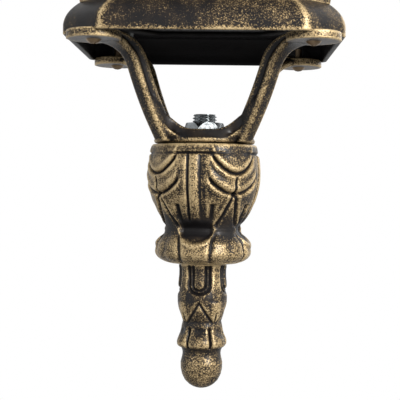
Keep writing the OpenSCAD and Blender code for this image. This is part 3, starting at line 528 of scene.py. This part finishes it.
def cup_wear_and_shade(points, normals):
    """Less gold round the waist and the rim, and black pits over the petals' lips, which are
    painted shade in the neck's hollow over its black paint.
    """
    depth = CUP_TOP_Z - FOOT_EDGE_Z - points[:, 2]
    across = from_front(points, CUP_TURN, CUP_MEAN_R)
    # Painted shade: black pits in the neck's hollow over the petals' lips.
    shade_pit = between(depth, 35, 38, 43.5, 46) * (1 - ramp(across, 5.5, 7.5))
    waist, foot_ring = bump(depth - 39, 6.5), bump(depth - 52, 6)
    return -0.45 * waist + 0.08 * foot_ring - 0.16 * (1 - ramp(depth, 5, 8)) - 1.4 * shade_pit


def make_cup():
    depth = np.linspace(0, CUP_H, CUP_STEPS)
    skin = [(r, d, 1.0 if CUP_CARVED_FROM < d < CUP_CARVED_TO else 0.0)
            for d, r in zip(depth, soft_line(depth, CUP_LINE, 0.35))]
    lid = [(r, 0.0, 0.0) for r in np.linspace(BORE_R, 24.8, 8)]
    base = [(r, CUP_H, 0.0) for r in np.linspace(16.0, BORE_R, 6)]
    cup = turned("carved_cup", CUP_SIDES, CUP_TOP_Z, lid + skin + base + [lid[0]], cup_relief)
    rub(cup, cup_wear_and_shade, worn=0.50, fine_gain=1.9)
    return cup


# The drop: depth under the cup, and radius
DROP_TURN, DROP_H, DROP_MEAN_R = -6.5, 62.3, 12.0
DROP_SIDES, DROP_STEPS, TIP_STEPS, TIP_FROM = 168, 200, 26, 58.15
DROP_LINE = [
    (0, 11.8), (1.8, 11.6), (3.3, 11.35), (6.2, 11.35), (9.2, 11.65), (13.7, 11.95),
    (16.7, 12.24), (19.6, 12.2), (22.6, 11.8), (25.6, 11.05), (28.5, 10.1), (30, 9.76),
    (31.5, 10.16), (34.5, 10.8), (37.5, 11.85), (38.9, 12.24), (40.4, 12.1), (41.3, 11.2),
    (41.9, 10.2), (43.4, 9.57), (44.9, 9.42), (46.4, 9.66), (49.3, 10.36), (52.3, 10.26),
    (55.3, 9.6), (58.2, 8.1), (60.2, 6.0), (61.4, 4.0), (62.1, 1.8), (62.3, 0.0)]
TONGUE_RIDGES = [(-1.25, 5.6, 0.75), (-1.15, 3.2, 0.65), (-0.3, 4.4, 1.2), (0.35, 0.0, 1.8)]


def arch_of(across, depth):
    """Distance from the middle of a tongue, which ends in an arch."""
    return np.sqrt(across ** 2 + (np.maximum(depth - 10.5, 0) * 1.3) ** 2)


def drop_relief(d, angle, r):
    """The drop's carving: tongues at the top, leaf points under them, then a ring of buds."""
    u = np.radians(wrapped(angle - DROP_TURN, 90)) * r
    w = np.radians(wrapped(angle - DROP_TURN - 45, 90)) * r
    bud = np.radians(wrapped(angle - DROP_TURN, 60)) * r
    tongues = between(d, 0.5, 2.0, 16.5, 18.5) * ridges(arch_of(u, d), TONGUE_RIDGES)
    point = np.abs(u) - 0.68 * (d - 19.2)
    edge = 1.2 * bump(point * 0.83, 0.65) + 0.5 * (1 - ramp(point, -1.2, 0.0))
    leaves = between(d, 18.0, 19.6, 28.6, 30.2) * (0.5 * bump(w, 2.6) - edge)
    seam = -0.8 * bump(w, 0.5) * between(d, 23, 26, 28.5, 30)
    gap = np.abs(np.abs(bud) - np.radians(30) * r)
    grooves = 1.7 * bump(gap, 0.85) + 0.9 * bump(bud, 2.6) * (1 - ramp(d, 33, 37))
    domes = 0.5 * bump(bud, 3.2) * ramp(d, 35, 38)
    buds = between(d, 30.5, 33.0, 41.2, 41.9) * (domes - grooves)
    return tongues + leaves + seam + buds


def drop_wear(points, normals):
    """Dark round the tongues, gold on the panels between them and on the ball."""
    depth = DROP_TOP_Z - FOOT_EDGE_Z - points[:, 2]
    across = from_front(points, DROP_TURN, DROP_MEAN_R)
    upper = 1 - ramp(depth, 17, 22)
    band = upper * between(arch_of(across, depth), 2.6, 3.2, 6.0, 6.9)
    panel = ramp(across, 6.2, 7.4) * (1 - ramp(depth, 24, 29))
    ball = ramp(depth, 43, 46)
    return 0.35 * panel + 0.18 * ball - 0.27 * upper - 0.4 * band - 0.08


def make_drop():
    depth = np.concatenate([np.linspace(0, 58, DROP_STEPS),
                            np.linspace(TIP_FROM, DROP_H, TIP_STEPS)])
    skin = [(r, d, 1.0 if d > 0.3 else 0.0)
            for d, r in zip(depth, soft_line(depth, DROP_LINE, 0.3))]
    skin[-1] = (0.0, DROP_H, 0.0)
    lid = [(r, 0.0, 0.0) for r in (0.0, 7.0, 11.0)]
    drop = turned("leafed_drop", DROP_SIDES, DROP_TOP_Z, lid + skin, drop_relief)
    rub(drop, drop_wear, worn=0.40)
    return drop


# The threaded tube
PITCH, THREAD_R, THREAD_DEPTH, TUBE_BORE_R = 1.5, 6.0, 0.92, 4.0
TUBE_STEPS, TUBE_BORE_STEPS, TUBE_SIDES = 560, 12, 56


def make_tube():
    length = TUBE_TOP_Z - TUBE_LOW_Z

    def thread(d, angle, r):
        wave = np.abs(wrapped(d / PITCH + angle / 360, 1.0)) * 2
        return -THREAD_DEPTH * ramp(wave, 0.12, 0.9) * ramp(d, 0.0, 0.6)

    top = [(TUBE_BORE_R, 0.0, 0.0), (TUBE_BORE_R + 0.2, 0.0, 0.0)]
    skin = [(THREAD_R - 0.6 * bump(d, 0.5), d, 1.0) for d in np.linspace(0.0, length, TUBE_STEPS)]
    bore = [(TUBE_BORE_R, d, 0.0) for d in np.linspace(length, 0.0, TUBE_BORE_STEPS)]
    return turned("tube_thread", TUBE_SIDES, TUBE_TOP_Z, top + skin + bore, thread)


# The yoke, with the sizes of its solid and heights from the foot's edge
LEAN, BEND_R, FLANGE_Z, SCREW_REACH, FLANGE_RUN = 27.9, 17.0, -2.6, 69.5, 6.7
LEG_BOW, LEG_FILLET_R = 1.2, 6.0
STRAP_W, STRAP_T, BAR_W, NECK_W, LEG_DEPTH = 8.0, 3.5, 6.6, 4.4, 9.2
EYE_R, EYE_T = 12.4, 4.0
HUB_LOW, HUB_R, HUB_H, HUB_EDGE = -46.6, 25.0, 6.3, 0.7
HUB_BORE_R, SEAT_DEPTH, PAD_R, PAD_T = 6.2, 2.1, 20.0, 0.7
LEG_TURNS = (45, 135, 225, 315)

# At the hub: radius of the legs' middle, and of the straps' outer face at a rise over it
LEG_FOOT_R, STRAP_FOOT_R, STRAP_FOOT_RISE = 22.0, 30.2, 1.7
FILLET_STEPS, LEG_STEPS, BEND_STEPS = 14, 50, 36
HUB_SIDES, EYE_SIDES = 256, 72


def leg_outline(half, depth):
    """A leg's section, from its outer face inwards: the strap, the neck, then the bar."""
    strap = min(STRAP_T, 0.7 * depth)
    bar = depth - strap
    side = [(half * 0.55, -0.35), (half - 0.7, 0.0), (half, strap * 0.35),
            (half - 0.2, strap * 0.75), (max(NECK_W / 2, half - 1.5), strap - 0.05),
            (NECK_W / 2, strap + bar * 0.18), (BAR_W / 2 - 0.3, strap + bar * 0.42),
            (BAR_W / 2, strap + bar * 0.62), (BAR_W / 2 - 0.7, strap + bar * 0.86),
            (BAR_W / 5, depth)]
    ring = np.array(side + [(-x, y) for x, y in reversed(side)])
    after = np.roll(ring, -1, axis=0)
    corners_cut = [0.75 * ring + 0.25 * after, 0.25 * ring + 0.75 * after]
    return np.stack(corners_cut, axis=1).reshape(-1, 2)


def leg_rows():
    """Rows of a leg, from the hub up to its eye: reach, height, slope, half width, depth."""
    lean = math.radians(LEAN)
    tangent = BEND_R * math.tan(math.radians((90 - LEAN) / 2))
    bend_u = SCREW_REACH - FLANGE_RUN
    bend_z = FLANGE_Z - tangent * math.cos(lean)
    root_z = HUB_LOW + HUB_H - HUB_EDGE
    clear_z = root_z + LEG_FILLET_R - LEG_DEPTH * math.sin(lean)

    def row(z, depth):
        bow = LEG_BOW * math.sin(math.pi * max(0.0, (z - HUB_LOW) / (bend_z - HUB_LOW)))
        reach = bend_u - tangent - (FLANGE_Z - z) * math.tan(lean) + bow
        return reach, z, 90 - LEAN, STRAP_W / 2, depth

    rows = [row(HUB_LOW + 0.3, LEG_DEPTH + LEG_FILLET_R)]
    for h in np.linspace(0.0, LEG_FILLET_R, FILLET_STEPS)[:-1]:
        cut = math.sqrt(LEG_FILLET_R ** 2 - (LEG_FILLET_R - h) ** 2)
        depth = LEG_DEPTH + LEG_FILLET_R - cut
        rows.append(row(root_z + h - depth * math.sin(lean), depth))
    rows += [row(z, LEG_DEPTH) for z in np.linspace(clear_z, bend_z, LEG_STEPS)[:-1]]
    for t in np.linspace(0, 1, BEND_STEPS):
        slope = (90 - LEAN) * (1 - t)
        a = math.radians(slope)
        half = STRAP_W / 2 + 2.4 * ramp(t, 0.3, 1)
        depth = LEG_DEPTH - (LEG_DEPTH - EYE_T - 1.6) * ramp(t, 0.1, 1)
        reach, z = bend_u - BEND_R * math.sin(a), FLANGE_Z - BEND_R * (1 - math.cos(a))
        rows.append((reach, z, slope, half, depth))
    rows.append((bend_u + 1.8, FLANGE_Z + 0.6, 0, EYE_R - 2.4, EYE_T - 1))
    return rows


def make_leg(turn):
    rings = []
    for k, (reach, z, slope, half, depth) in enumerate(leg_rows()):
        across, deep = leg_outline(half, depth).T
        a = math.radians(slope)
        if k == 0:
            out, height = reach - deep / math.sin(a), np.full(len(deep), z)
        else:
            out = reach - deep * math.sin(a)
            height = np.maximum(z + deep * math.cos(a), HUB_LOW + 0.3)
        c, s = math.cos(math.radians(turn)), math.sin(math.radians(turn))
        ring = np.column_stack([c * out - s * across, s * out + c * across, height])
        rings.append(np.vstack([ring, ring[:1]]))
    return lofted("leg", np.array(rings))


# Fillets that climb beside each leg: radius, the share of it in use, and lean outwards
RIM_FILLET, STEP_FILLET = (10.0, 0.937, 0.55), (7.5, 1.0, 0.8)


def make_hub():
    rim, low = HUB_LOW + HUB_H, HUB_LOW
    seat = rim - SEAT_DEPTH
    points = np.array([
        (HUB_BORE_R, low - PAD_T), (PAD_R, low - PAD_T), (PAD_R, low),
        (HUB_R - HUB_EDGE, low), (HUB_R, low + HUB_EDGE), (HUB_R, low + 1.7),
        (HUB_R - 0.5, low + 2.3), (HUB_R - 1.3, low + 3.2), (HUB_R - 1.8, rim - 1.7),
        (HUB_R - 1.9, rim - HUB_EDGE), (HUB_R - 2.5, rim), (HUB_R - 3.3, rim),
        (HUB_R - 5, rim - 1.05), (HUB_R - 10, seat), (HUB_BORE_R, seat),
        (HUB_BORE_R, low - PAD_T)])

    def place(u, v):
        r, z = points[nearest(v, len(points))].T
        angle = u * 360 - 180
        from_leg = np.radians(np.abs(wrapped(angle - 45, 90))) * LEG_FOOT_R - BAR_W * 0.4
        at_rim = (r > HUB_R - 6) * ramp(z, rim - 2.2, rim - 0.6)
        at_step = (r > HUB_R - 0.6) * ramp(z, low + 1.0, low + 1.6)
        for (radius, share, outward), here in ((RIM_FILLET, at_rim), (STEP_FILLET, at_step)):
            inside = np.clip(share * radius - from_leg, 0, share * radius)
            climb = radius - np.sqrt(radius ** 2 - inside ** 2)
            z = z + here * climb
            r = r + here * climb * (outward + 0.05 * climb)
        return round_axis(r, angle, FOOT_EDGE_Z + z)

    return woven("hub", HUB_SIDES, len(points) - 1, place)


def make_eye(turn):
    a = math.radians(turn)
    middle = (AXIS_X + SCREW_REACH * math.cos(a), AXIS_Y + SCREW_REACH * math.sin(a),
              FOOT_EDGE_Z + FLANGE_Z + EYE_T / 2)
    deselect()
    bpy.ops.mesh.primitive_cylinder_add(
        vertices=EYE_SIDES, radius=EYE_R * MM, depth=EYE_T * MM,
        location=[part * MM for part in middle])
    eye = bpy.context.object
    bpy.ops.object.transform_apply(location=True, rotation=True, scale=True)
    return eye


def joined(pieces, name):
    deselect()
    for piece in pieces:
        piece.select_set(True)
    bpy.context.view_layer.objects.active = pieces[0]
    bpy.ops.object.join()
    pieces[0].name = name
    return pieces[0]


def smoothed(piece, voxel, times):
    """One cast skin over joined solids, with its edges eased."""
    remesh = piece.modifiers.new("skin", "REMESH")
    remesh.mode = "VOXEL"
    remesh.voxel_size = voxel * MM
    bpy.ops.object.modifier_apply(modifier=remesh.name)
    ease = piece.modifiers.new("ease", "SMOOTH")
    ease.factor = 0.5
    ease.iterations = times
    bpy.ops.object.modifier_apply(modifier=ease.name)


def fill_creases(piece, low, high, inner, times):
    """Fills hollow corners as a cast fillet does, between two heights from the foot's edge
    and outside the inner radius."""
    mesh = piece.data
    points = read_vectors(mesh, "co")
    x, y, z = (points / MM - FOOT_MIDDLE).T
    share = between(z, low, low + 0.8, high - 4, high)
    share = share * ramp(np.hypot(x, y), inner, inner + 3)
    a, b = edge_ends(mesh)
    near = (share[a] > 0) | (share[b] > 0)
    mean = neighbour_mean(a[near], b[near], len(points))
    for _ in range(times):
        normals = read_vectors(mesh, "normal")
        for _ in range(10):
            lift = ((mean(points) - points) * normals).sum(axis=1)
            points += (0.9 * share * np.maximum(lift, 0))[:, None] * normals
        mesh.vertices.foreach_set("co", points.ravel())
        mesh.update()


def yoke_wear(points, normals):
    """Black on the bars behind the straps, and less gold on the hub's lower edge."""
    x, y, z = points.T
    rise = z - HUB_LOW
    strap = STRAP_FOOT_R + (rise - STRAP_FOOT_RISE) * math.tan(math.radians(LEAN))
    behind = 1 - ramp(np.hypot(x, y) - (strap - STRAP_T * 1.25), -1.2, 0.2)
    edge = 1 - ramp(rise, 1.8, 4)
    return 0.08 - 0.5 * behind * between(rise, 1.8, 2.6, 12, 20) - 0.15 * edge


def make_yoke():
    yoke = joined([make_hub()] + [make_leg(turn) for turn in LEG_TURNS]
                  + [make_eye(turn) for turn in LEG_TURNS], "yoke_casting")
    smoothed(yoke, voxel=0.5, times=4)
    fill_creases(yoke, low=HUB_LOW + 2.2, high=HUB_LOW + 22, inner=13, times=16)
    rub(yoke, yoke_wear, worn=0.17, fine=8, broad=70, broad_gain=0.4)
    return yoke


# The foot: a closed ring of sections, flared outside, with its ledge inside
FOOT_HALF, FOOT_LEG, FOOT_H, FOOT_FLARE, FOOT_LIP, FOOT_WALL = 64.0, 18.6, 16.0, 6.8, 4.0, 2.6
LEDGE_HALF, LEDGE_T = 46.2, 2.4
EYE_ROOM_R, EYE_ROOM_Z = EYE_R + 0.3, 1.45
SIDE_STEPS, CORNER_STEPS = 64, 24


def foot_profile():
    """Half widths and heights round the foot's wall."""
    def flare(z):
        return FOOT_HALF - FOOT_FLARE * (max(z - FOOT_LIP, 0) / (FOOT_H - FOOT_LIP)) ** 2

    low, under = FOOT_HALF, FOOT_H - LEDGE_T
    rows = [(low - 0.9, 0.0), (low - 0.35, 0.12), (low, 0.55)]
    rows += [(flare(z), z) for z in np.linspace(1.1, FOOT_H - 0.4, 26)]
    rows += [(flare(FOOT_H) - 0.4, FOOT_H)]
    rows += [(half, FOOT_H) for half in np.linspace(56.0, LEDGE_HALF + 0.4, 6)]
    rows += [(LEDGE_HALF, FOOT_H - 0.4), (LEDGE_HALF, FOOT_H - 2.0), (LEDGE_HALF + 0.4, under)]
    rows += [(half, under) for half in np.linspace(48.0, 56.6, 6)]
    rows += [(flare(z) - FOOT_WALL, z) for z in np.linspace(FOOT_H - 2.8, 0.5, 14)]
    rows += [(low - FOOT_WALL + 0.5, 0.0), rows[0]]
    return rows


def octagon(half):
    """Points round a chamfered square, with its corners eased."""
    flat = half - FOOT_LEG
    corners = np.array([(half, -flat), (half, flat), (flat, half), (-flat, half),
                        (-half, flat), (-half, -flat), (-flat, -half), (flat, -half)])
    ring = []
    for k, (start, end) in enumerate(zip(corners, np.roll(corners, -1, axis=0))):
        steps = CORNER_STEPS if k % 2 else SIDE_STEPS
        ring += [start + (end - start) * i / steps for i in range(steps)]
    ring = np.array(ring)
    for _ in range(3):
        ring = 0.5 * ring + 0.25 * (np.roll(ring, 1, axis=0) + np.roll(ring, -1, axis=0))
    return np.vstack([ring, ring[:1]])


def foot_wear_and_painted_light(points, normals):
    """Gold along the corners and the uneven lip, and none inside. More gold to the right is
    painted light, as that side faces the key lamp.
    """
    x, y, z = points.T
    outward = (normals[:, 0] * x + normals[:, 1] * y) / np.hypot(x, y)
    outside = ramp(outward, 0.1, 0.35)
    past_corner = FOOT_LEG - np.abs(np.abs(x) - np.abs(y))
    sideways = ramp(np.abs(x) - np.abs(y), -4, 4)
    corner = 0.6 * bump(past_corner * 0.7, 1.0) * (1 - 0.6 * sideways)
    corner_face = ramp(past_corner, 0.5, 2.5)
    uneven = 1 + 0.4 * np.sin(x / 5 + np.sin(y / 3))
    lip = 0.3 * bump(z - 0.6, 1.0 + 1.2 * bump(x + 26, 9)) * uneven
    # The ramp along x paints the right side lighter, as light from the key lamp on the right.
    gold = corner - 0.1 * corner_face + lip + 0.2 * ramp(x, -45, 35) - 0.16
    return outside * gold - 2 * (1 - outside)


def make_foot():
    rings = []
    for half, height in foot_profile():
        x, y = octagon(half).T
        apart = np.abs(x) - SCREW_REACH / math.sqrt(2), np.abs(y) - SCREW_REACH / math.sqrt(2)
        over_eye = (np.hypot(*apart) < EYE_ROOM_R) & (height < EYE_ROOM_Z)
        z = np.where(over_eye, EYE_ROOM_Z + 0.02 * height, height)
        rings.append(np.column_stack([x, y, z]))
    foot = lofted("foot_skirt", np.array(rings))
    rub(foot, foot_wear_and_painted_light, worn=0.24, fine=5, broad=30, fine_gain=0.9, broad_gain=0.15)
    return foot


# Finishes of the solids, by their slots in the record
# This patina also holds the painted shade in the hollows and the partly painted highlight of the
# brightest gold.
patina_and_shade = rubbed_patina("rubbed_patina_and_painted_shade")
zinc_dull = plated("zinc_thread", (0.26, 0.28, 0.29), 0.24)
bronze = plated("screw_bronze", (0.22, 0.16, 0.10), 0.4)
FINISHES = {
    "patina_cast": rubbed_patina("patina_upper", bias=0.3, from_shape=False),
    "black_paint": matt("black_paint", (0.008, 0.008, 0.009), (0.012, 0.012, 0.012), 0.7),
    "zinc_steel": plated("zinc_plate", (0.60, 0.62, 0.61), 0.28),
    "pane_glass": clear_pane("clear_pane"),
    "black_rubber": matt("black_rubber", (0.016, 0.016, 0.016), (0.026, 0.026, 0.027), 0.75),
    "cream_plastic": matt("cream_plastic", (0.80, 0.78, 0.70), (0.76, 0.74, 0.66), 0.4),
    "brass_metal": plated("plain_brass", (0.68, 0.50, 0.22), 0.3),
    "white_ceramic": matt("white_ceramic", (0.86, 0.85, 0.80), (0.82, 0.81, 0.77), 0.25, 0.6),
    "lamp_glass": opal_bulb("opal_bulb")}
for part in frame["record"]["subparts"]:
    solid = frame["nodes"][part["node"]]
    solid.data.materials.clear()
    solid.data.materials.append(FINISHES[part["material_slot"]])
for name, finish in (("hub_nut", zinc_dull), ("yoke_screws", bronze)):
    frame["nodes"][name].data.materials[0] = finish

# The castings and the tube that the photograph shows, in place of their solids
finish_piece(make_cup(), ["finial_cup"], patina_and_shade)
finish_piece(make_drop(), ["finial_drop"], patina_and_shade)
finish_piece(make_tube(), ["threaded_tube"], zinc_dull, angle=35)
finish_piece(make_yoke(), ["yoke"], patina_and_shade)
finish_piece(make_foot(), ["foot"], patina_and_shade)

place_camera()
make_floor()
for lamp in LAMPS:
    place_lamp(*lamp)
set_world()
bpy.context.scene.view_settings.view_transform = "Standard"
